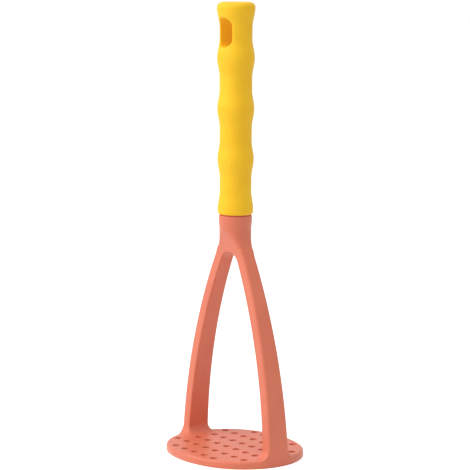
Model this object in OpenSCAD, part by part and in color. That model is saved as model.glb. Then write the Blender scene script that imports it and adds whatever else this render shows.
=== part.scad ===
// A potato masher: a nylon head, with a perforated oval plate on two bowed arms, and a
// two-shot grip in the form of a bamboo cane. Every size is in millimetres.
// The origin is the middle of the plate's underside. Z runs up the grip, the two arms
// stand on the X axis, and the hang slot opens along Y.

/* [Plate] */
// Length of the oval plate, from the outside of one foot to the other
plate_length = 88.2; // [78:0.2:106]
// Width of the oval plate
plate_width = 74.4; // [62:0.2:80]
// Thickness of the plate
plate_thickness = 4.5; // [3.6:0.1:6]
// Radius of the plate's rounded ends as a share of its half width
end_fullness = 0.96; // [0.85:0.01:0.97]
// Radius that rounds the plate's upper edge
edge_radius = 1.5; // [0.5:0.1:2]
// Diameter of a mashing hole
hole_diameter = 4.4; // [3.6:0.1:5.4]
// Distance between holes in a row
hole_pitch = 9.5; // [7.8:0.1:11.6]
// Distance between rows of holes
row_pitch = 11.6; // [9.6:0.1:14]
// Least width of plate between a hole and the rim
rim_margin = 1.6; // [1:0.1:4]

/* [Arms] */
// Height where the arms come together as shoulders
shoulder_height = 118; // [98:1:142]
// Half the width across the shoulders
shoulder_half_width = 14.7; // [13:0.1:17]
// How far an arm bows out from a straight line between its foot and its shoulder
arm_bow = 6; // [3:0.1:6.5]
// Thickness of an arm, seen from the front
arm_thickness = 7; // [5.8:0.1:8.4]
// Half the depth of an arm at its foot
foot_half_depth = 7.3; // [6:0.1:8.8]
// Half the depth of an arm at the shoulder
shoulder_half_depth = 4.6; // [4:0.1:5.6]
// Radius of an arm's outer corners
arm_corner_radius = 1.6; // [0.8:0.1:2.4]
// Radius of the fillets between a foot and the plate
foot_fillet = 4.4; // [3:0.1:5]
// Radius of the arch between the arms
crotch_radius = 9; // [7:0.1:10.5]

/* [Neck] */
// Radius of the neck's waist
waist_radius = 9.4; // [8.8:0.1:10]
// Radius of the fillet from the waist into the arms
shoulder_fillet = 24; // [18:1:30]
// Radius of the coves that flatten the neck's front and back
cove_radius = 32; // [26:1:40]
// Length of the neck above its waist
neck_length = 8.6; // [7:0.1:11]
// Radius of the collar under the grip
collar_radius = 9.8; // [9.6:0.1:10.2]
// Height of the collar's straight band
collar_band = 3; // [2:0.1:4]
// Height of the groove between the collar and the grip
parting_gap = 0.6; // [0.3:0.1:1]
// Radius of the shoulder inside that groove
register_radius = 8.7; // [8:0.1:9]

/* [Tang] */
// Radius of the tang inside the grip
tang_radius = 5.4; // [4.6:0.1:6]
// Length of the tang
tang_length = 52; // [44:1:62]
// Thickness of the tang's crossed ribs
tang_rib = 2.8; // [2.2:0.1:3.4]
// Length of the solid boss that takes the pin
boss_length = 10; // [8:1:12]
// Clearance round the tang and above its end
tang_clearance = 0.05; // [0.02:0.01:0.15]
// Diameter of the cross pin
pin_diameter = 3; // [2:0.5:4]
// Height of the pin above the grip's lower end
pin_height = 11; // [9:1:16]

/* [Grip] */
// Length of the grip
grip_length = 123.6; // [103:0.2:148]
// Number of cane sections between the grip's five swellings
cane_sections = 4; // [3:1:5]
// Radius of the cane's straight wall at the lower end
wall_radius_low = 9.25; // [9:0.05:10]
// Radius of the cane's straight wall at the upper end
wall_radius_high = 9.7; // [9:0.05:11]
// Height of the swelling at the lowest node
swell_low = 1.2; // [0.8:0.1:2]
// Height of the swelling at the highest node
swell_high = 1.5; // [0.8:0.1:2.2]
// Half the length of a swelling
swell_reach = 11; // [8:0.5:13]
// Radius that rounds the grip's lower lip
lip_radius = 1.6; // [1:0.1:2.2]
// Radius that rounds the grip's upper end
crown_radius = 3; // [2:0.1:3.6]
// Width of the hang slot
slot_width = 11.4; // [9.5:0.1:12]
// Height of the hang slot
slot_height = 17; // [14:0.5:20]
// Distance from the grip's upper end down to the middle of the slot
slot_drop = 17.4; // [15:0.1:20]

/* [Core] */
// Radius of the grip's hard core
core_radius = 7.6; // [7.3:0.1:8]
// Radius of the core's locking ribs
core_rib_radius = 8.8; // [8.2:0.1:9]
// Width of a locking rib
core_rib_width = 5; // [3:0.5:7]
// Thickness of the skin over the core's upper end
cap_skin = 4.5; // [3.5:0.1:6]
// Thickness of the skin that lines the hang slot
slot_lining = 1.3; // [0.8:0.1:1.4]

/* [Hidden] */
$fn = 96;
coral = "#e0785c";
cane_yellow = "#fdc62d";
core_ivory = "#ece6d8";
steel = "#c4c7cb";
// How far a cutter runs past what it cuts
overrun = 1;

// The oval of the plate is four tangent arcs: a broad one on each side, a tight one at each end
half_length = plate_length / 2;
half_width = plate_width / 2;
end_radius = half_width * end_fullness;
end_centre = half_length - end_radius;
side_radius = (end_centre ^ 2 + half_width ^ 2 - end_radius ^ 2) / (2 * (half_width - end_radius));
side_centre = side_radius - half_width;
arc_join = end_centre + end_radius * end_centre / (side_radius - end_radius);
join_turn = atan2(side_centre, end_centre);

// Points round the oval, from one end's arc on through a side's arc, then the same turned half round
end_steps = 32;
side_steps = 12;
edge_steps = 4;
function half_oval(inset) = [
    for (step = [0:end_steps])
        let (turn = join_turn * (2 * step / end_steps - 1))
        [end_centre + (end_radius - inset) * cos(turn), (end_radius - inset) * sin(turn)],
    for (step = [1:side_steps - 1])
        let (turn = join_turn + (180 - 2 * join_turn) * step / side_steps)
        [(side_radius - inset) * cos(turn), (side_radius - inset) * sin(turn) - side_centre]
];
function oval(inset) = [for (side = [1, -1], point = half_oval(inset)) side * point];
function raised(ring, z) = [for (point = ring) [point[0], point[1], z]];

// Both faces of an arm are arcs about one centre
arm_rise = shoulder_height - plate_thickness;
arm_run = half_length - shoulder_half_width;
arm_chord = sqrt(arm_rise ^ 2 + arm_run ^ 2);
outer_radius = (arm_chord ^ 2 / 4 + arm_bow ^ 2) / (2 * arm_bow);
inner_radius = outer_radius - arm_thickness;
chord_offset = outer_radius - arm_bow;
arm_centre_x = (half_length + shoulder_half_width) / 2 - chord_offset * arm_rise / arm_chord;
arm_centre_z = (plate_thickness + shoulder_height) / 2 - chord_offset * arm_run / arm_chord;

// The shoulder fillet touches the arm's outer arc and the upright wall of the waist
fillet_x = waist_radius + shoulder_fillet;
fillet_reach = outer_radius + shoulder_fillet;
waist_z = arm_centre_z + sqrt(fillet_reach ^ 2 - (fillet_x - arm_centre_x) ^ 2);
fillet_z = arm_centre_z + (waist_z - arm_centre_z) * outer_radius / fillet_reach;

// The arch touches both inner arcs
arch_reach = inner_radius - crotch_radius;
arch_z = arm_centre_z + sqrt(arch_reach ^ 2 - arm_centre_x ^ 2);
arch_join_z = arm_centre_z + (arch_z - arm_centre_z) * inner_radius / arch_reach;

// The inner foot fillet touches the plate's top and the arm's inner arc
foot_fillet_z = plate_thickness + foot_fillet;
foot_reach = inner_radius - foot_fillet;
foot_fillet_x = arm_centre_x + sqrt(foot_reach ^ 2 - (foot_fillet_z - arm_centre_z) ^ 2);
foot_join_z = arm_centre_z + (foot_fillet_z - arm_centre_z) * inner_radius / foot_reach;

// The coves start level with the shoulders and run up until they leave the round neck
cove_depth = waist_radius - shoulder_half_depth;
cove_top = shoulder_height + sqrt(cove_radius ^ 2 - (cove_radius - cove_depth) ^ 2);
neck_foot = cove_top - 0.4;
collar_top = waist_z + neck_length;
grip_z = collar_top + parting_gap;
grip_top = grip_z + grip_length;
slot_z = grip_top - slot_drop;
pin_z = grip_z + pin_height;
core_top = grip_top - cap_skin;

// Holes keep clear of the feet and their fillets
hole_radius = hole_diameter / 2;
foot_clear_x = foot_fillet_x - hole_radius;
foot_clear_y = foot_half_depth + foot_fillet + hole_radius;

// Steps along the fork and round one of its sides
fork_steps = 18;
fillet_steps = 5;
neck_steps = 12;
side_step = 15;

function arm_outer(z) = arm_centre_x + sqrt(outer_radius ^ 2 - (z - arm_centre_z) ^ 2);
function waist_outer(z) = fillet_x - sqrt(shoulder_fillet ^ 2 - (waist_z - z) ^ 2);
function fork_x(z) = z < fillet_z ? arm_outer(z) : z < waist_z ? waist_outer(z) : waist_radius;

function arm_taper(z) = (z - plate_thickness) / arm_rise;
function arm_y(z) = foot_half_depth + (shoulder_half_depth - foot_half_depth) * arm_taper(z);
function cove_y(z) = shoulder_half_depth + cove_radius
    - sqrt(cove_radius ^ 2 - (z - shoulder_height) ^ 2);
function foot_flare(z) = z >= foot_fillet_z ? 0
    : foot_fillet - sqrt(foot_fillet ^ 2 - (foot_fillet_z - max(z, plate_thickness)) ^ 2);
function fork_y(z) = z < shoulder_height ? arm_y(max(z, plate_thickness)) + foot_flare(z) : cove_y(z);

// How round the fork's sides are: flat on the arms, round at the neck
neck_rounding = 0.4;
function roundness(z) = max(0, (z - fillet_z) / (neck_foot - fillet_z)) ^ neck_rounding;
function side_bulge(z, y) = z <= fillet_z ? 0
    : roundness(z) * fork_x(z) * (1 - sqrt(max(0, 1 - (y / waist_radius) ^ 2)));
function corner_size(z) = arm_corner_radius * (1 - max(0, min(1, (z - fillet_z) / (neck_foot - fillet_z))));
function corner_cut(size, past) = past <= 0 ? 0 : size - sqrt(max(0, size ^ 2 - past ^ 2));
function side_x(z, y) = fork_x(z) - side_bulge(z, y)
    - corner_cut(corner_size(z), abs(y) - (fork_y(z) - corner_size(z)));

// One level section of the fork, from the front right corner round to the front left one
function fork_ring(z) = [
    for (turn = [-90:side_step:90]) [side_x(z, fork_y(z) * sin(turn)), fork_y(z) * sin(turn), z],
    for (turn = [-90:side_step:90]) [-side_x(z, fork_y(z) * sin(turn)), -fork_y(z) * sin(turn), z]
];

function inside_oval(x, y, inset) =
    norm([abs(x), abs(y) + side_centre]) <= side_radius - inset
    && (abs(x) <= arc_join || norm([abs(x) - end_centre, y]) <= end_radius - inset);
function clear_of_feet(x, y) = abs(x) < foot_clear_x || abs(y) > foot_clear_y;

// Every second row from the middle is shifted by half a pitch
hole_reach = ceil(half_length / hole_pitch);
row_reach = ceil(half_width / row_pitch);
holes = [
    for (side = [-1, 1], row = [1:row_reach], column = [-hole_reach:hole_reach])
    let (x = (column + (row % 2 == 0 ? 0.5 : 0)) * hole_pitch)
    let (y = side * (row - 0.5) * row_pitch)
    if (inside_oval(x, y, hole_radius + rim_margin) && clear_of_feet(x, y)) [x, y]
];

// The cane's outline: a tapered wall, with a swelling at each node
low_node = grip_z + 2.8;
high_node = grip_top - crown_radius;
node_spacing = (high_node - low_node) / cane_sections;
cane_steps = 18;
function along(z) = (z - low_node) / (high_node - low_node);
function node_offset(z) = abs(z - low_node - node_spacing * round((z - low_node) / node_spacing));
function swell(z) = node_offset(z) >= swell_reach ? 0
    : (swell_low + (swell_high - swell_low) * along(z)) * (1 + cos(180 * node_offset(z) / swell_reach)) / 2;
function cane_radius(z) = wall_radius_low + (wall_radius_high - wall_radius_low) * along(z) + swell(z);
lip_z = grip_z + lip_radius;
cane_outline = [
    for (turn = [-90:15:-15])
        [cane_radius(lip_z) + lip_radius * (cos(turn) - 1), lip_z + lip_radius * sin(turn)],
    for (step = [0:cane_steps * cane_sections])
        let (z = lip_z + (high_node - lip_z) * step / (cane_steps * cane_sections)) [cane_radius(z), z],
    for (turn = [15:15:90])
        [cane_radius(high_node) + crown_radius * (cos(turn) - 1), high_node + crown_radius * sin(turn)]
];

// Joins level rings of points, listed from the bottom up, into one closed solid
module skin(rings) {
    size = len(rings[0]);
    last = len(rings) - 1;
    walls = [
        for (level = [0:last - 1], i = [0:size - 1])
        let (a = level * size + i, b = level * size + (i + 1) % size)
        [a, a + size, b + size, b]
    ];
    bottom = [for (i = [0:size - 1]) i];
    top = [for (i = [size - 1:-1:0]) last * size + i];
    polyhedron(points = [for (ring = rings) each ring], faces = concat(walls, [bottom], [top]), convexity = 4);
}

module plate_blank() {
    skin(concat(
        [raised(oval(0), 0)],
        [for (step = [0:edge_steps])
            let (turn = 90 * step / edge_steps)
            raised(oval(edge_radius * (1 - cos(turn))), plate_thickness - edge_radius * (1 - sin(turn)))]
    ));
}

// The space between the arms, seen from the front, with the arch above and a fillet at each foot
module gap_outline() {
    intersection() {
        for_both() circle(inner_radius, $fn = 720);
        translate([-half_length, foot_join_z]) square([plate_length, arch_join_z - foot_join_z]);
    }
    translate([0, arch_z]) circle(crotch_radius);
    translate([-foot_fillet_x, plate_thickness]) square([2 * foot_fillet_x, 2 * foot_fillet]);
    for (side = [-1, 1]) translate([side * foot_fillet_x, foot_fillet_z]) circle(foot_fillet);
}

module for_both() {
    intersection() {
        translate([arm_centre_x, arm_centre_z]) children();
        translate([-arm_centre_x, arm_centre_z]) children();
    }
}

// The feet end inside the plate and stay this far inside its rim
foot_depth = plate_thickness / 2;
rim_inset = 0.03;
fork_levels = [
    plate_thickness - foot_depth,
    for (step = [0:fillet_steps]) plate_thickness + foot_fillet * step / fillet_steps,
    for (step = [1:fork_steps]) foot_fillet_z + (fillet_z - foot_fillet_z) * step / fork_steps,
    for (step = [1:neck_steps]) fillet_z + (neck_foot - fillet_z) * step / neck_steps
];

module fork() {
    intersection() {
        difference() {
            skin([for (z = fork_levels) fork_ring(z)]);
            rotate([90, 0, 0])
                translate([0, 0, -half_width]) linear_extrude(plate_width) gap_outline();
        }
        linear_extrude(cove_top) polygon(oval(rim_inset));
    }
}

module neck() {
    rotate_extrude() polygon([
        [0, neck_foot - overrun],
        [waist_radius - overrun, neck_foot - overrun],
        [waist_radius, neck_foot + overrun / 2],
        [collar_radius, collar_top - collar_band],
        [collar_radius, collar_top - parting_gap],
        [collar_radius - parting_gap, collar_top],
        [register_radius, collar_top],
        [register_radius, grip_z],
        [0, grip_z]
    ]);
}

// Crossed ribs, with a solid boss round the pin and a solid end
module tang() {
    intersection() {
        translate([0, 0, grip_z]) cylinder(r = tang_radius, h = tang_length);
        union() {
            for (turn = [0, 90]) rotate([0, 0, turn])
                translate([-tang_radius - overrun, -tang_rib / 2, grip_z])
                    cube([2 * tang_radius + 2 * overrun, tang_rib, tang_length]);
            translate([0, 0, pin_z - boss_length / 2]) cylinder(r = tang_radius + overrun, h = boss_length);
            translate([0, 0, grip_z + tang_length - tang_rib]) cylinder(r = tang_radius + overrun, h = tang_rib);
        }
    }
}

module pin_bore(length) {
    translate([-length / 2, 0, pin_z]) rotate([0, 90, 0]) cylinder(d = pin_diameter, h = length, $fn = 48);
}

module masher_head() {
    color(coral) difference() {
        union() {
            plate_blank();
            fork();
            neck();
            tang();
        }
        for (hole = holes)
            translate([hole[0], hole[1], -overrun])
                cylinder(d = hole_diameter, h = plate_thickness + 2 * overrun, $fn = 48);
        pin_bore(2 * tang_radius + 2 * overrun);
    }
}

// The space that the core fills, with its locking ribs under the cane's inner nodes
module core_blank() {
    translate([0, 0, grip_z]) cylinder(r = core_radius, h = core_top - grip_z);
    for (section = [1:cane_sections - 1])
        translate([0, 0, low_node + section * node_spacing - core_rib_width / 2])
            cylinder(r = core_rib_radius, h = core_rib_width);
}

// The hang slot: upright, with round ends, widened all round by a margin
module slot_cutter(margin) {
    width = slot_width + 2 * margin;
    rise = (slot_height - slot_width) / 2;
    translate([0, 0, slot_z]) rotate([90, 0, 0])
        translate([0, 0, -collar_radius * 2]) linear_extrude(collar_radius * 4) {
            square([width, 2 * rise], center = true);
            for (side = [-1, 1]) translate([0, side * rise]) circle(d = width);
        }
}

module grip_core() {
    color(core_ivory) difference() {
        core_blank();
        slot_cutter(slot_lining);
        translate([0, 0, grip_z - overrun])
            cylinder(r = tang_radius + tang_clearance, h = tang_length + tang_clearance + overrun);
        pin_bore(2 * core_radius + 2 * overrun);
    }
}

module grip_sleeve() {
    color(cane_yellow) difference() {
        rotate_extrude() polygon(concat([[0, grip_z]], cane_outline, [[0, grip_top]]));
        difference() {
            core_blank();
            slot_cutter(slot_lining);
        }
        slot_cutter(0);
    }
}

// The pin ends just inside the core's round wall
module tang_pin() {
    color(steel) pin_bore(2 * sqrt(core_radius ^ 2 - (pin_diameter / 2) ^ 2));
}

masher_head();
grip_core();
grip_sleeve();
tang_pin();
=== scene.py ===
import math

import bmesh
import bpy
import numpy as np
from mathutils import Matrix, Vector


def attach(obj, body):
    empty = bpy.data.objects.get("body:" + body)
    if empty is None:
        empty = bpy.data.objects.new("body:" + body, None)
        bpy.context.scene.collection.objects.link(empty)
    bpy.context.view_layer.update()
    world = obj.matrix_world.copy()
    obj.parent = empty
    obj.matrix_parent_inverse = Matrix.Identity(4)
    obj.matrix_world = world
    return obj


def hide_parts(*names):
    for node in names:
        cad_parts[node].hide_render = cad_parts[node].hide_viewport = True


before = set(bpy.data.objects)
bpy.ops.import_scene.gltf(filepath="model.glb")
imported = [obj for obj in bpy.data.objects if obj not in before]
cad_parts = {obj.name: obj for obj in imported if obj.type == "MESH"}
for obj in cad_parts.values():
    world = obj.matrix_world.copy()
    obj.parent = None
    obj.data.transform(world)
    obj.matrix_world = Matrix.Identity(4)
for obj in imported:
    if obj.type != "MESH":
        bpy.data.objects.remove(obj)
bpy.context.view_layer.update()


# ---- Head -------------------------------------------------------------------------------
# The head is one injection moulding in coral nylon: an oval plate, two bowed arms and the
# neck that carries the grip. The arms swell into the plate with generous fillets, and the
# neck's front and back run out in long coves, so no two of its parts meet in a hard line.

# The plate: four tangent arcs, a tight one at each end and a broad one on each side
HALF_LENGTH, HALF_WIDTH, PLATE_THICKNESS = 44.1, 37.2, 4.5
TOP_EDGE, BOTTOM_EDGE = 1.5, 0.5
END_RADIUS = 0.96 * HALF_WIDTH
END_CENTRE = HALF_LENGTH - END_RADIUS
SIDE_RADIUS = (END_CENTRE**2 + HALF_WIDTH**2 - END_RADIUS**2) / (2 * (HALF_WIDTH - END_RADIUS))
SIDE_CENTRE = SIDE_RADIUS - HALF_WIDTH

# The arms: both faces are arcs about one centre, found from the foot, the shoulder and the bow
SHOULDER_X, SHOULDER_Z, SHOULDER_DEPTH = 14.7, 118.0, 4.6
ARM_BOW, ARM_THICKNESS, FOOT_DEPTH, FOOT_FILLET = 6.0, 7.0, 7.3, 5.8
OUTER_CORNER, INNER_CORNER = 1.5, 0.9
ARM_RISE, ARM_RUN = SHOULDER_Z - PLATE_THICKNESS, HALF_LENGTH - SHOULDER_X
ARM_CHORD = math.hypot(ARM_RISE, ARM_RUN)
ARM_OUTER = (ARM_CHORD**2 / 4 + ARM_BOW**2) / (2 * ARM_BOW)
ARM_INNER = ARM_OUTER - ARM_THICKNESS
ARM_X = (HALF_LENGTH + SHOULDER_X) / 2 - (ARM_OUTER - ARM_BOW) * ARM_RISE / ARM_CHORD
ARM_Z = (PLATE_THICKNESS + SHOULDER_Z) / 2 - (ARM_OUTER - ARM_BOW) * ARM_RUN / ARM_CHORD
ARCH_RADIUS = 9.0
ARCH_Z = ARM_Z + math.sqrt((ARM_INNER - ARCH_RADIUS) ** 2 - ARM_X**2)
ARCH_START = ARM_Z + (ARCH_Z - ARM_Z) * ARM_INNER / (ARM_INNER - ARCH_RADIUS)

# The neck: a fillet from each arm into the round waist, and a cove at the front and back
WAIST, FILLET, COVE, NECK_BLEND = 9.4, 24.0, 32.0, 2.0
COLLAR, COLLAR_BAND, NECK_LENGTH = 9.8, 3.0, 8.6
WAIST_Z = ARM_Z + math.sqrt((ARM_OUTER + FILLET) ** 2 - (WAIST + FILLET - ARM_X) ** 2)
FILLET_Z = ARM_Z + (WAIST_Z - ARM_Z) * ARM_OUTER / (ARM_OUTER + FILLET)
NECK_FOOT = SHOULDER_Z + math.sqrt(COVE**2 - (COVE - WAIST + SHOULDER_DEPTH) ** 2) - 0.4
COLLAR_TOP = WAIST_Z + NECK_LENGTH
COLLAR_Z = COLLAR_TOP - COLLAR_BAND
NECK_CUT = COLLAR_Z - 1.8


def round_meet(a, b, r):
    """Where both shapes are, with the edge between them rounded."""
    return np.minimum(-r, np.maximum(a, b)) + np.hypot(np.maximum(r + a, 0), np.maximum(r + b, 0))


def round_join(a, b, r):
    """Where either shape is, with a fillet in the corner between them."""
    return np.maximum(r, np.minimum(a, b)) - np.hypot(np.maximum(r - a, 0), np.maximum(r - b, 0))


def oval(x, y):
    at_end = abs(y) < (abs(x) - END_CENTRE) * SIDE_CENTRE / END_CENTRE
    end = np.hypot(abs(x) - END_CENTRE, y) - END_RADIUS
    return np.where(at_end, end, np.hypot(x, abs(y) + SIDE_CENTRE) - SIDE_RADIUS)


def arms(x, y, z):
    x, y = abs(x), abs(y)
    fillet_x = WAIST + FILLET
    arm = np.hypot(x - ARM_X, z - ARM_Z) - ARM_OUTER
    shoulder = FILLET - np.hypot(np.minimum(x, fillet_x) - fillet_x, z - WAIST_Z)
    neck_radius = WAIST + (COLLAR - WAIST) * np.clip((z - NECK_FOOT - 0.5) / (COLLAR_Z - NECK_FOOT - 0.5), 0, 1)
    turned = np.clip((z - FILLET_Z) / (NECK_FOOT - FILLET_Z), 0, 1)
    wall = fillet_x - np.sqrt(np.clip(FILLET**2 - np.minimum(z - WAIST_Z, 0) ** 2, 0, None))
    belly = turned**0.4 * wall * (1 - np.sqrt(np.clip(1 - (y / WAIST) ** 2, 0, 1)))
    side = np.where(z < FILLET_Z, arm, np.where(z < WAIST_Z, shoulder, x - WAIST) + belly)
    side = np.where(z < NECK_FOOT, side, np.hypot(x, y) - neck_radius)
    taper = np.clip((z - PLATE_THICKNESS) / (SHOULDER_Z - PLATE_THICKNESS), 0, 1)
    cove = COVE - np.sqrt(COVE**2 - np.clip(z - SHOULDER_Z, 0, 24) ** 2)
    depth = y - (FOOT_DEPTH + (SHOULDER_DEPTH - FOOT_DEPTH) * taper + cove)
    gap = np.where(
        z < ARCH_START, ARM_INNER - np.hypot(x - ARM_X, z - ARM_Z), ARCH_RADIUS - np.hypot(x, z - ARCH_Z)
    )
    faded = np.clip((z - NECK_FOOT) / (COLLAR_Z - 1.5 - NECK_FOOT), 0, 1)
    body = round_meet(side, depth, (OUTER_CORNER + (NECK_BLEND - OUTER_CORNER) * turned) * (1 - faded) + 0.05)
    return round_meet(body, gap, INNER_CORNER)


def head_shape(x, y, z):
    rim = oval(x, y)
    plate = round_meet(round_meet(rim, z - PLATE_THICKNESS, TOP_EDGE), -z, BOTTOM_EDGE)
    fork = np.maximum(arms(x, y, z), PLATE_THICKNESS / 2 - z)
    whole = np.maximum(round_join(fork, plate, FOOT_FILLET), rim)
    return np.maximum(np.maximum(whole, -z), z - NECK_CUT - 0.8)


def moulded(name, shape, low, high, cell):
    """A closed mesh over a shape's surface: a point in each cell it crosses, drawn onto it."""
    low = np.array(low, float)
    size = [int(math.ceil((b - a) / cell)) + 1 for a, b in zip(low, high)]
    steps = [low[k] + cell * np.arange(size[k]) for k in range(3)]
    field = shape(*np.meshgrid(*steps, indexing="ij"))
    inside = field < 0
    corners = sum(
        inside[i : size[0] - 1 + i, j : size[1] - 1 + j, k : size[2] - 1 + k].astype(np.int8)
        for i in (0, 1)
        for j in (0, 1)
        for k in (0, 1)
    )
    crossed = (corners > 0) & (corners < 8)
    cells = np.argwhere(crossed)
    number = np.full(crossed.shape, -1)
    number[crossed] = np.arange(len(cells))
    total, count = np.zeros((len(cells), 3)), np.zeros(len(cells))
    for axis in range(3):
        for u in (0, 1):
            for v in (0, 1):
                start = np.zeros(3, int)
                start[(axis + 1) % 3], start[(axis + 2) % 3] = u, v
                end = start.copy()
                end[axis] = 1
                a, b = field[tuple((cells + start).T)], field[tuple((cells + end).T)]
                cut = (a < 0) != (b < 0)
                share = np.where(cut, a / np.where(cut, a - b, 1), 0)
                point = (cells + start).astype(float)
                point[:, axis] += share
                total[cut] += point[cut]
                count[cut] += 1
    points = low + cell * total / count[:, None]
    faces = []
    for axis in range(3):
        near = [slice(1, -1)] * 3
        near[axis] = slice(0, -1)
        far = list(near)
        far[axis] = slice(1, None)
        a, b = inside[tuple(near)], inside[tuple(far)]
        for out in (True, False):
            edge = np.argwhere((a & ~b) if out else (~a & b)) + 1
            edge[:, axis] -= 1
            ring = []
            for u, v in ((-1, -1), (0, -1), (0, 0), (-1, 0)):
                around = edge.copy()
                around[:, (axis + 1) % 3] += u
                around[:, (axis + 2) % 3] += v
                ring.append(number[tuple(around.T)])
            faces.append(np.stack(ring if out else ring[::-1], axis=1))
    faces = np.concatenate(faces)
    pairs = np.concatenate([faces[:, [k, (k + 1) % 4]] for k in range(4)])
    for turn in range(7):
        if turn < 4:
            mean, links = np.zeros_like(points), np.zeros(len(points))
            np.add.at(mean, pairs[:, 0], points[pairs[:, 1]])
            np.add.at(links, pairs[:, 0], 1)
            points = points + 0.45 * (mean / links[:, None] - points)
        value = shape(*points.T)
        slope = np.stack(
            [
                (shape(*(points + step).T) - shape(*(points - step).T)) / 0.04
                for step in 0.02 * np.eye(3)
            ],
            axis=1,
        )
        pull = value / np.maximum((slope**2).sum(axis=1), 0.3)
        points = points - np.clip(pull[:, None] * slope, -cell / 2, cell / 2)
    mesh = bpy.data.meshes.new(name)
    mesh.from_pydata((points * 0.001).tolist(), [], faces.tolist())
    piece = bpy.data.objects.new(name, mesh)
    bpy.context.scene.collection.objects.link(piece)
    return piece


def only(piece):
    bpy.ops.object.select_all(action="DESELECT")
    piece.select_set(True)
    bpy.context.view_layer.objects.active = piece


head = moulded("masher_head_moulding", head_shape, (-46, -39, -1.1), (46, 39, NECK_CUT + 2), 0.58)

# The collar is turned on above the neck: a straight band, a small chamfer, and the narrow
# register that leaves a groove under the grip.
REGISTER, GROOVE = 8.7, 0.6
COLLAR_TURNS = [
    (COLLAR - 0.08, NECK_CUT + 0.9),
    (COLLAR - 0.01, COLLAR_Z),
    (COLLAR, COLLAR_Z + 0.4),
    (COLLAR, COLLAR_TOP - 0.66),
    (COLLAR - 0.08, COLLAR_TOP - 0.36),
    (COLLAR - 0.5, COLLAR_TOP),
    (REGISTER, COLLAR_TOP),
    (REGISTER, COLLAR_TOP + GROOVE),
    (0.5, COLLAR_TOP + GROOVE),
]
only(head)
bpy.ops.object.mode_set(mode="EDIT")
bpy.ops.mesh.select_all(action="SELECT")
bpy.ops.mesh.bisect(plane_co=(0, 0, NECK_CUT / 1000), plane_no=(0, 0, 1), clear_outer=True)
body = bmesh.from_edit_mesh(head.data)
edges = [e for e in body.edges if e.is_boundary]
for radius, height in COLLAR_TURNS:
    grown = bmesh.ops.extrude_edge_only(body, edges=edges)["geom"]
    for point in [g for g in grown if isinstance(g, bmesh.types.BMVert)]:
        flat = Vector((point.co.x, point.co.y)).normalized() * radius * 0.001
        point.co = (flat.x, flat.y, height * 0.001)
    edges = [g for g in grown if isinstance(g, bmesh.types.BMEdge) and g.is_boundary]
bmesh.ops.edgeloop_fill(body, edges=edges)
bmesh.ops.recalc_face_normals(body, faces=body.faces)
bmesh.update_edit_mesh(head.data)
bpy.ops.object.mode_set(mode="OBJECT")

# Forty mashing holes go through the plate in six staggered rows. The moulding tool leaves
# each with a slightly rounded mouth above and below.
HOLE_RADIUS, HOLE_PITCH, ROW_PITCH = 2.2, 9.5, 11.6
RIM_MARGIN, FOOT_ROOM = 1.6, 4.4
CLEAR_X = ARM_INNER - FOOT_ROOM
CLEAR_X = ARM_X + math.sqrt(CLEAR_X**2 - (PLATE_THICKNESS + FOOT_ROOM - ARM_Z) ** 2) - HOLE_RADIUS
CLEAR_Y = FOOT_DEPTH + FOOT_ROOM + HOLE_RADIUS
HOLE_TURNS = [
    (HOLE_RADIUS + 0.3, -0.2),
    (HOLE_RADIUS + 0.13, 0.0),
    (HOLE_RADIUS + 0.04, 0.05),
    (HOLE_RADIUS, 0.15),
    (HOLE_RADIUS, PLATE_THICKNESS - 0.15),
    (HOLE_RADIUS + 0.04, PLATE_THICKNESS - 0.05),
    (HOLE_RADIUS + 0.13, PLATE_THICKNESS),
    (HOLE_RADIUS + 0.3, PLATE_THICKNESS + 0.2),
]
HOLE_SIDES = 48
mouths, walls = [], []
for row in (-3, -2, -1, 1, 2, 3):
    y = (abs(row) - 0.5) * ROW_PITCH * (1 if row > 0 else -1)
    for column in range(-5, 6):
        x = (column + (0.5 if row % 2 == 0 else 0)) * HOLE_PITCH
        in_rim = oval(np.array(x), np.array(y)) <= -(HOLE_RADIUS + RIM_MARGIN)
        if not in_rim or (abs(x) >= CLEAR_X and abs(y) <= CLEAR_Y):
            continue
        base = len(mouths)
        for radius, height in HOLE_TURNS:
            for k in range(HOLE_SIDES):
                turn = 2 * math.pi * k / HOLE_SIDES
                mouths.append(
                    ((x + radius * math.cos(turn)) / 1000, (y + radius * math.sin(turn)) / 1000, height / 1000)
                )
        for level in range(len(HOLE_TURNS) - 1):
            for k in range(HOLE_SIDES):
                a, b = base + level * HOLE_SIDES + k, base + level * HOLE_SIDES + (k + 1) % HOLE_SIDES
                walls.append((a, b, b + HOLE_SIDES, a + HOLE_SIDES))
        top = base + (len(HOLE_TURNS) - 1) * HOLE_SIDES
        walls.append(tuple(base + k for k in reversed(range(HOLE_SIDES))))
        walls.append(tuple(top + k for k in range(HOLE_SIDES)))
hole_mesh = bpy.data.meshes.new("hole_pins")
hole_mesh.from_pydata(mouths, [], walls)
hole_pins = bpy.data.objects.new("hole_pins", hole_mesh)
bpy.context.scene.collection.objects.link(hole_pins)
cut = head.modifiers.new("holes", "BOOLEAN")
cut.operation, cut.solver, cut.object = "DIFFERENCE", "EXACT", hole_pins
only(head)
bpy.ops.object.modifier_apply(modifier="holes")
bpy.data.objects.remove(hole_pins)
only(head)
bpy.ops.object.shade_smooth_by_angle(angle=math.radians(38))


def linear(code):
    """A hex colour as Blender's linear one."""
    parts = [int(code[k : k + 2], 16) / 255 for k in (1, 3, 5)]
    return [p / 12.92 if p <= 0.04045 else ((p + 0.055) / 1.055) ** 2.4 for p in parts] + [1]


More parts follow.
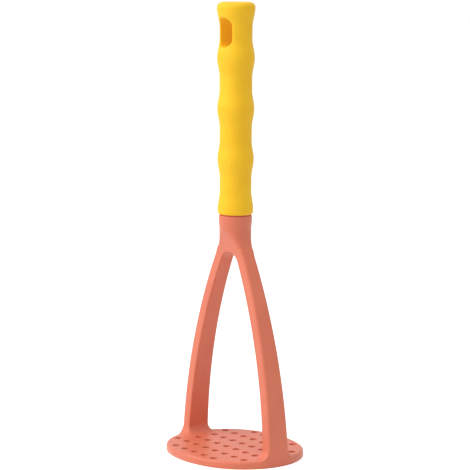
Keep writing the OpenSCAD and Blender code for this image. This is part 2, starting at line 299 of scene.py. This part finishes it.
def add(tree, kind, settings=None, links=None):
    """Adds a node, sets its properties and sockets, and links outputs into its sockets."""
    made = tree.nodes.new(kind)
    for key, value in (settings or {}).items():
        if isinstance(key, str) and hasattr(made, key):
            setattr(made, key, value)
        else:
            made.inputs[key].default_value = value
    for key, source in (links or {}).items():
        tree.links.new(source, made.inputs[key])
    return made


# Unfilled nylon from a polished tool: a satin skin over slightly translucent coral, with a
# faint orange peel, drawn at 0.7 mm so that it shows, and broad clouds in the colour.
NYLON_CLOUD, NYLON_PEEL = 18.0, 0.7
nylon = bpy.data.materials.new("satin_coral_nylon")
nylon.use_nodes = True
tree = nylon.node_tree
tree.nodes.clear()
place = add(tree, "ShaderNodeTexCoord")
clouds = add(
    tree, "ShaderNodeTexNoise", {"Scale": 1000 / NYLON_CLOUD, "Detail": 3.0, "Roughness": 0.5}, {"Vector": place.outputs["Object"]}
)
tint = add(tree, "ShaderNodeValToRGB", links={"Fac": clouds.outputs["Fac"]})
tint.color_ramp.elements[0].position, tint.color_ramp.elements[0].color = 0.3, linear("#dc7355")
tint.color_ramp.elements[1].position, tint.color_ramp.elements[1].color = 0.7, linear("#e27a5c")
peel = add(
    tree, "ShaderNodeTexNoise", {"Scale": 1000 / NYLON_PEEL, "Detail": 2.0, "Roughness": 0.5}, {"Vector": place.outputs["Object"]}
)
gloss = add(
    tree,
    "ShaderNodeMapRange",
    {"From Min": 0.3, "From Max": 0.7, "To Min": 0.4, "To Max": 0.47},
    {"Value": clouds.outputs["Fac"]},
)
bump = add(tree, "ShaderNodeBump", {"Strength": 0.18, "Distance": 0.00004}, {"Height": peel.outputs["Fac"]})
skin = add(
    tree,
    "ShaderNodeBsdfPrincipled",
    {
        "IOR": 1.53,
        "Specular IOR Level": 0.45,
        "Subsurface Weight": 0.03,
        "Subsurface Radius": (1.0, 0.3, 0.15),
        "Subsurface Scale": 0.0015,
    },
    {"Base Color": tint.outputs["Color"], "Roughness": gloss.outputs["Result"], "Normal": bump.outputs["Normal"]},
)
add(tree, "ShaderNodeOutputMaterial", links={"Surface": skin.outputs["BSDF"]})
head.data.materials.append(nylon)
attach(head, "root")
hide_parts("masher_head")


# ---- Grip skin --------------------------------------------------------------------------
# The grip's skin is a soft-touch yellow elastomer, moulded over the hard core in the form
# of a bamboo cane: five rings swell from a slightly tapered wall, the upper end is domed,
# and the skin runs on through the hang slot and lines it.

GRIP_LENGTH, LIP, CROWN = 123.6, 0.9, 3.0
GRIP_LOW = COLLAR_TOP + GROOVE
GRIP_HIGH = GRIP_LOW + GRIP_LENGTH
LOW_NODE, HIGH_NODE, SECTIONS = GRIP_LOW + 2.8, GRIP_HIGH - CROWN, 4
WALL_LOW, WALL_HIGH, SWELL_LOW, SWELL_HIGH, SWELL_REACH = 9.25, 9.7, 1.2, 1.5, 11.0
CORE, CORE_RIB, CORE_RIB_HALF, CORE_TOP = 7.6, 8.8, 2.5, GRIP_HIGH - 4.5
SLOT_Z, SLOT_HALF, SLOT_RISE, SLOT_CORNER = GRIP_HIGH - 17.4, 5.7, 8.5, 4.6
SLOT_LINING, SLOT_MOUTH = 1.3, 1.2


def grip_shape(x, y, z):
    r = np.hypot(x, y)
    spacing = (HIGH_NODE - LOW_NODE) / SECTIONS
    along = np.clip((z - LOW_NODE) / (HIGH_NODE - LOW_NODE), 0, 1)
    off = abs(z - LOW_NODE - spacing * np.round((z - LOW_NODE) / spacing))
    ring = (1 + np.cos(math.pi * np.minimum(off / SWELL_REACH, 1))) / 2
    wall = WALL_LOW + (WALL_HIGH - WALL_LOW) * along + (SWELL_LOW + (SWELL_HIGH - SWELL_LOW) * along) * ring
    cane = round_meet(round_meet(r - wall, GRIP_LOW - z, LIP), z - GRIP_HIGH, CROWN)
    across = np.maximum(abs(x) - SLOT_HALF + SLOT_CORNER, 0)
    slot = np.hypot(across, np.maximum(abs(z - SLOT_Z) - SLOT_RISE + SLOT_CORNER, 0)) - SLOT_CORNER
    core = np.maximum(r - CORE, z - CORE_TOP)
    for section in range(1, SECTIONS):
        rib = np.maximum(r - CORE_RIB, abs(z - LOW_NODE - section * spacing) - CORE_RIB_HALF)
        core = np.minimum(core, rib)
    core = np.maximum(core, SLOT_LINING - slot)
    return np.maximum(round_meet(cane, -slot, SLOT_MOUTH), -core)


grip = moulded("bamboo_grip_skin", grip_shape, (-12.1, -12.1, GRIP_LOW - 1.1), (12.1, 12.1, GRIP_HIGH + 1.4), 0.47)
only(grip)
bpy.ops.object.shade_smooth_by_angle(angle=math.radians(45))

# Soft-touch elastomer from a spark-eroded tool: fully matt, with an even fine grain, drawn
# at 0.4 mm so that it shows, that blurs every highlight.
ELASTOMER_CLOUD, ELASTOMER_GRAIN = 14.0, 0.4
rubber = bpy.data.materials.new("soft_touch_yellow_elastomer")
rubber.use_nodes = True
tree = rubber.node_tree
tree.nodes.clear()
place = add(tree, "ShaderNodeTexCoord")
clouds = add(
    tree, "ShaderNodeTexNoise", {"Scale": 1000 / ELASTOMER_CLOUD, "Detail": 3.0, "Roughness": 0.55}, {"Vector": place.outputs["Object"]}
)
tint = add(tree, "ShaderNodeValToRGB", links={"Fac": clouds.outputs["Fac"]})
tint.color_ramp.elements[0].position, tint.color_ramp.elements[0].color = 0.3, linear("#fbc21a")
tint.color_ramp.elements[1].position, tint.color_ramp.elements[1].color = 0.7, linear("#ffca22")
grain = add(
    tree, "ShaderNodeTexNoise", {"Scale": 1000 / ELASTOMER_GRAIN, "Detail": 3.0, "Roughness": 0.6}, {"Vector": place.outputs["Object"]}
)
gloss = add(
    tree,
    "ShaderNodeMapRange",
    {"From Min": 0.3, "From Max": 0.7, "To Min": 0.52, "To Max": 0.62},
    {"Value": grain.outputs["Fac"]},
)
bump = add(tree, "ShaderNodeBump", {"Strength": 0.3, "Distance": 0.00004}, {"Height": grain.outputs["Fac"]})
skin = add(
    tree,
    "ShaderNodeBsdfPrincipled",
    {
        "IOR": 1.49,
        "Specular IOR Level": 0.32,
        "Subsurface Weight": 0.06,
        "Subsurface Radius": (1.0, 0.6, 0.12),
        "Subsurface Scale": 0.0015,
    },
    {"Base Color": tint.outputs["Color"], "Roughness": gloss.outputs["Result"], "Normal": bump.outputs["Normal"]},
)
add(tree, "ShaderNodeOutputMaterial", links={"Surface": skin.outputs["BSDF"]})
grip.data.materials.append(rubber)
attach(grip, "root")
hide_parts("grip_sleeve")


# ---- Grip core --------------------------------------------------------------------------
# The hard core under the skin is natural polypropylene. It is hidden when the grip is
# whole: waxy, slightly cloudy off-white, with the faint sheen of an unpolished tool.

POLYPROPYLENE_CLOUD = 16.0
polypropylene = bpy.data.materials.new("natural_polypropylene")
polypropylene.use_nodes = True
tree = polypropylene.node_tree
tree.nodes.clear()
place = add(tree, "ShaderNodeTexCoord")
clouds = add(
    tree, "ShaderNodeTexNoise", {"Scale": 1000 / POLYPROPYLENE_CLOUD, "Detail": 2.0, "Roughness": 0.5}, {"Vector": place.outputs["Object"]}
)
tint = add(tree, "ShaderNodeValToRGB", links={"Fac": clouds.outputs["Fac"]})
tint.color_ramp.elements[0].position, tint.color_ramp.elements[0].color = 0.3, linear("#e9e3d4")
tint.color_ramp.elements[1].position, tint.color_ramp.elements[1].color = 0.7, linear("#f0ebde")
bump = add(tree, "ShaderNodeBump", {"Strength": 0.1, "Distance": 0.00005}, {"Height": clouds.outputs["Fac"]})
skin = add(
    tree,
    "ShaderNodeBsdfPrincipled",
    {"IOR": 1.49, "Roughness": 0.45},
    {"Base Color": tint.outputs["Color"], "Normal": bump.outputs["Normal"]},
)
add(tree, "ShaderNodeOutputMaterial", links={"Surface": skin.outputs["BSDF"]})
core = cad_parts["grip_core"]
core.data.materials.clear()
core.data.materials.append(polypropylene)


# ---- Tang pin ---------------------------------------------------------------------------
# A 3 mm steel pin is pressed across the core and the tang and holds the head in the grip.
# It is centreless ground, which leaves fine rings round it every few hundredths of a
# millimetre; they are drawn coarser here, so that they can be seen at all.

PIN_RING = 0.2
pin_steel = bpy.data.materials.new("ground_stainless_steel")
pin_steel.use_nodes = True
tree = pin_steel.node_tree
tree.nodes.clear()
place = add(tree, "ShaderNodeTexCoord")
rings = add(
    tree,
    "ShaderNodeTexWave",
    {"bands_direction": "X", "Scale": math.pi / 10 / (PIN_RING / 1000), "Distortion": 2.0, "Detail": 2.0},
    {"Vector": place.outputs["Object"]},
)
gloss = add(tree, "ShaderNodeMapRange", {"To Min": 0.22, "To Max": 0.34}, {"Value": rings.outputs["Fac"]})
bump = add(tree, "ShaderNodeBump", {"Strength": 0.1, "Distance": 0.00002}, {"Height": rings.outputs["Fac"]})
skin = add(
    tree,
    "ShaderNodeBsdfPrincipled",
    {"Base Color": linear("#c4c7cb"), "Metallic": 1.0},
    {"Roughness": gloss.outputs["Result"], "Normal": bump.outputs["Normal"]},
)
add(tree, "ShaderNodeOutputMaterial", links={"Surface": skin.outputs["BSDF"]})
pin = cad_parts["tang_pin"]
pin.data.materials.clear()
pin.data.materials.append(pin_steel)


# ---- Floor, light and camera ------------------------------------------------------------
# A white sweep under a large soft lamp on the left, with an even pale room round it. What
# the camera and reflections see of the room is white; the floor keeps the soft shadow, and
# its glow is cut in an oval under the plate, a painted shadow that darkens the floor there.

bpy.ops.object.select_all(action="DESELECT")
bpy.ops.mesh.primitive_plane_add(size=8, location=(0, 0, 0))
floor = bpy.context.active_object
floor.name = "floor"
paper = bpy.data.materials.new("white_paper_sweep")
paper.use_nodes = True
tree = paper.node_tree
tree.nodes.clear()
path = add(tree, "ShaderNodeLightPath")
seen = add(
    tree, "ShaderNodeMath", {"operation": "MAXIMUM"}, {0: path.outputs["Is Camera Ray"], 1: path.outputs["Is Glossy Ray"]}
)
seen = add(
    tree, "ShaderNodeMath", {"operation": "MAXIMUM"}, {0: seen.outputs[0], 1: path.outputs["Is Transmission Ray"]}
)
place = add(tree, "ShaderNodeTexCoord")
oval_place = add(
    tree,
    "ShaderNodeVectorMath",
    {"operation": "MULTIPLY", 1: (1000 / HALF_LENGTH, 1000 / HALF_WIDTH, 0)},
    {0: place.outputs["Object"]},
)
away = add(tree, "ShaderNodeVectorMath", {"operation": "LENGTH"}, {0: oval_place.outputs["Vector"]})
# Painted shadow: the floor's glow fades to nothing in an oval under the plate.
glow_outside_painted_shadow = add(
    tree, "ShaderNodeMapRange", {"From Min": 0.94, "From Max": 0.99, "To Max": 0.55}, {"Value": away.outputs["Value"]}
)
lift = add(
    tree, "ShaderNodeMath", {"operation": "MULTIPLY"}, {0: seen.outputs[0], 1: glow_outside_painted_shadow.outputs["Result"]}
)
matt = add(tree, "ShaderNodeBsdfDiffuse", {"Color": (0.86, 0.86, 0.86, 1)})
glow = add(tree, "ShaderNodeEmission", {"Color": (1, 1, 1, 1)}, {"Strength": lift.outputs[0]})
both = add(tree, "ShaderNodeAddShader", links={0: matt.outputs[0], 1: glow.outputs[0]})
add(tree, "ShaderNodeOutputMaterial", links={"Surface": both.outputs[0]})
floor.data.materials.append(paper)

world = bpy.data.worlds.new("pale_room")
bpy.context.scene.world = world
world.use_nodes = True
tree = world.node_tree
tree.nodes.clear()
path = add(tree, "ShaderNodeLightPath")
seen = add(
    tree, "ShaderNodeMath", {"operation": "MAXIMUM"}, {0: path.outputs["Is Camera Ray"], 1: path.outputs["Is Glossy Ray"]}
)
seen = add(
    tree, "ShaderNodeMath", {"operation": "MAXIMUM"}, {0: seen.outputs[0], 1: path.outputs["Is Transmission Ray"]}
)
level = add(tree, "ShaderNodeMapRange", {"To Min": 0.57, "To Max": 1.0}, {"Value": seen.outputs[0]})
room = add(tree, "ShaderNodeBackground", {"Color": (1, 1, 1, 1)}, {"Strength": level.outputs["Result"]})
add(tree, "ShaderNodeOutputWorld", links={"Surface": room.outputs[0]})

VIEW_TURN = math.radians(53.784)
LAMPS = [("key_lamp", -76, 1.5, 1.1, 1.0, 15.5), ("top_lamp", -30, 0.5, 1.9, 1.2, 10.5)]
for name, turn, reach, height, size, power in LAMPS:
    lamp = bpy.data.lights.new(name, "AREA")
    lamp.size, lamp.energy = size, power
    holder = bpy.data.objects.new(name, lamp)
    bpy.context.scene.collection.objects.link(holder)
    turn = VIEW_TURN + math.radians(turn)
    holder.location = (reach * math.sin(turn), -reach * math.cos(turn), height)
    aim = Vector((0, 0, 0.13)) - holder.location
    holder.rotation_euler = aim.to_track_quat("-Z", "Y").to_euler()

DISTANCE, HEIGHT, LENS = 1.266667, 0.314892, 166.82
yaw, pitch, roll = math.radians(53.7925), math.radians(8.271), math.radians(0.218)
forward = Vector((-math.sin(yaw) * math.cos(pitch), math.cos(yaw) * math.cos(pitch), -math.sin(pitch)))
level_right = Vector((math.cos(yaw), math.sin(yaw), 0))
upright = level_right.cross(forward)
right = level_right * math.cos(roll) + upright * math.sin(roll)
up = right.cross(forward)
eye = bpy.data.cameras.new("camera")
eye.lens, eye.sensor_width = LENS, 36
camera = bpy.data.objects.new("camera", eye)
bpy.context.scene.collection.objects.link(camera)
stand = Vector((DISTANCE * math.sin(VIEW_TURN), -DISTANCE * math.cos(VIEW_TURN), HEIGHT))
camera.matrix_world = Matrix.Translation(stand) @ Matrix((right, up, -forward)).transposed().to_4x4()
bpy.context.scene.camera = camera
bpy.context.scene.view_settings.view_transform = "Standard"
